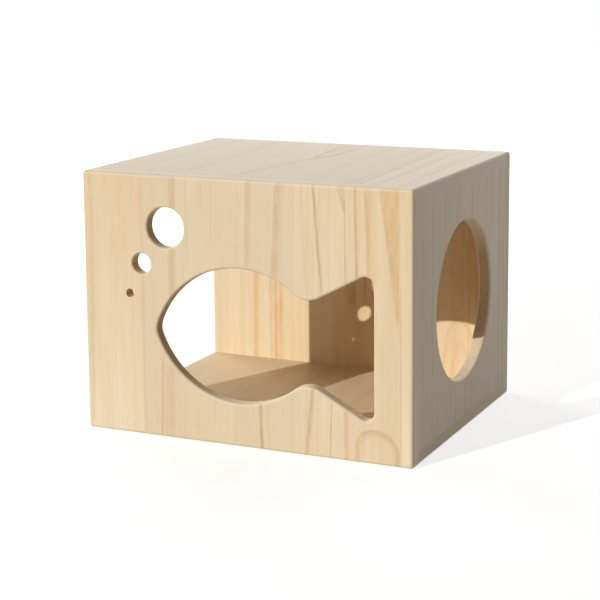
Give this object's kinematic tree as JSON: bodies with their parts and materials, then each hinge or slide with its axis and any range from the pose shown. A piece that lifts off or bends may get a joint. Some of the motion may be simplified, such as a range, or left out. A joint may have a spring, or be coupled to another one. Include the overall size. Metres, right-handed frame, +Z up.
{
  "type": "wooden cat house",
  "caption": "Rectangular pine box for a cat, open at one end, with a fish-shaped opening in front, a round hole in the side and small round holes.",
  "frame": {"origin": "on the ground under the middle of the box", "axes": "+Z up, front with the fish-shaped opening facing -Y, closed side with the round hole facing +X, open end facing -X"},
  "size_m": [0.4, 0.33, 0.3],
  "materials": {
    "pine": "sanded bare pine, vertical grain, matt",
    "pale_pine": "sanded bare pine, grain from front to back, matt",
    "beech": "bare beech dowel"
  },
  "bodies": {
    "root": {"front_board": "pine", "back_board": "pine", "side_board": "pine", "top_board": "pale_pine", "floor_board": "pale_pine", "dowel_front_top_1": "beech", "dowel_front_top_2": "beech", "dowel_front_top_3": "beech", "dowel_front_floor_1": "beech", "dowel_front_floor_2": "beech", "dowel_front_floor_3": "beech", "dowel_front_side_1": "beech", "dowel_front_side_2": "beech", "dowel_back_top_1": "beech", "dowel_back_top_2": "beech", "dowel_back_top_3": "beech", "dowel_back_floor_1": "beech", "dowel_back_floor_2": "beech", "dowel_back_floor_3": "beech", "dowel_back_side_1": "beech", "dowel_back_side_2": "beech", "dowel_top_side_1": "beech", "dowel_top_side_2": "beech", "dowel_floor_side_1": "beech", "dowel_floor_side_2": "beech"}
  },
  "joints": []
}
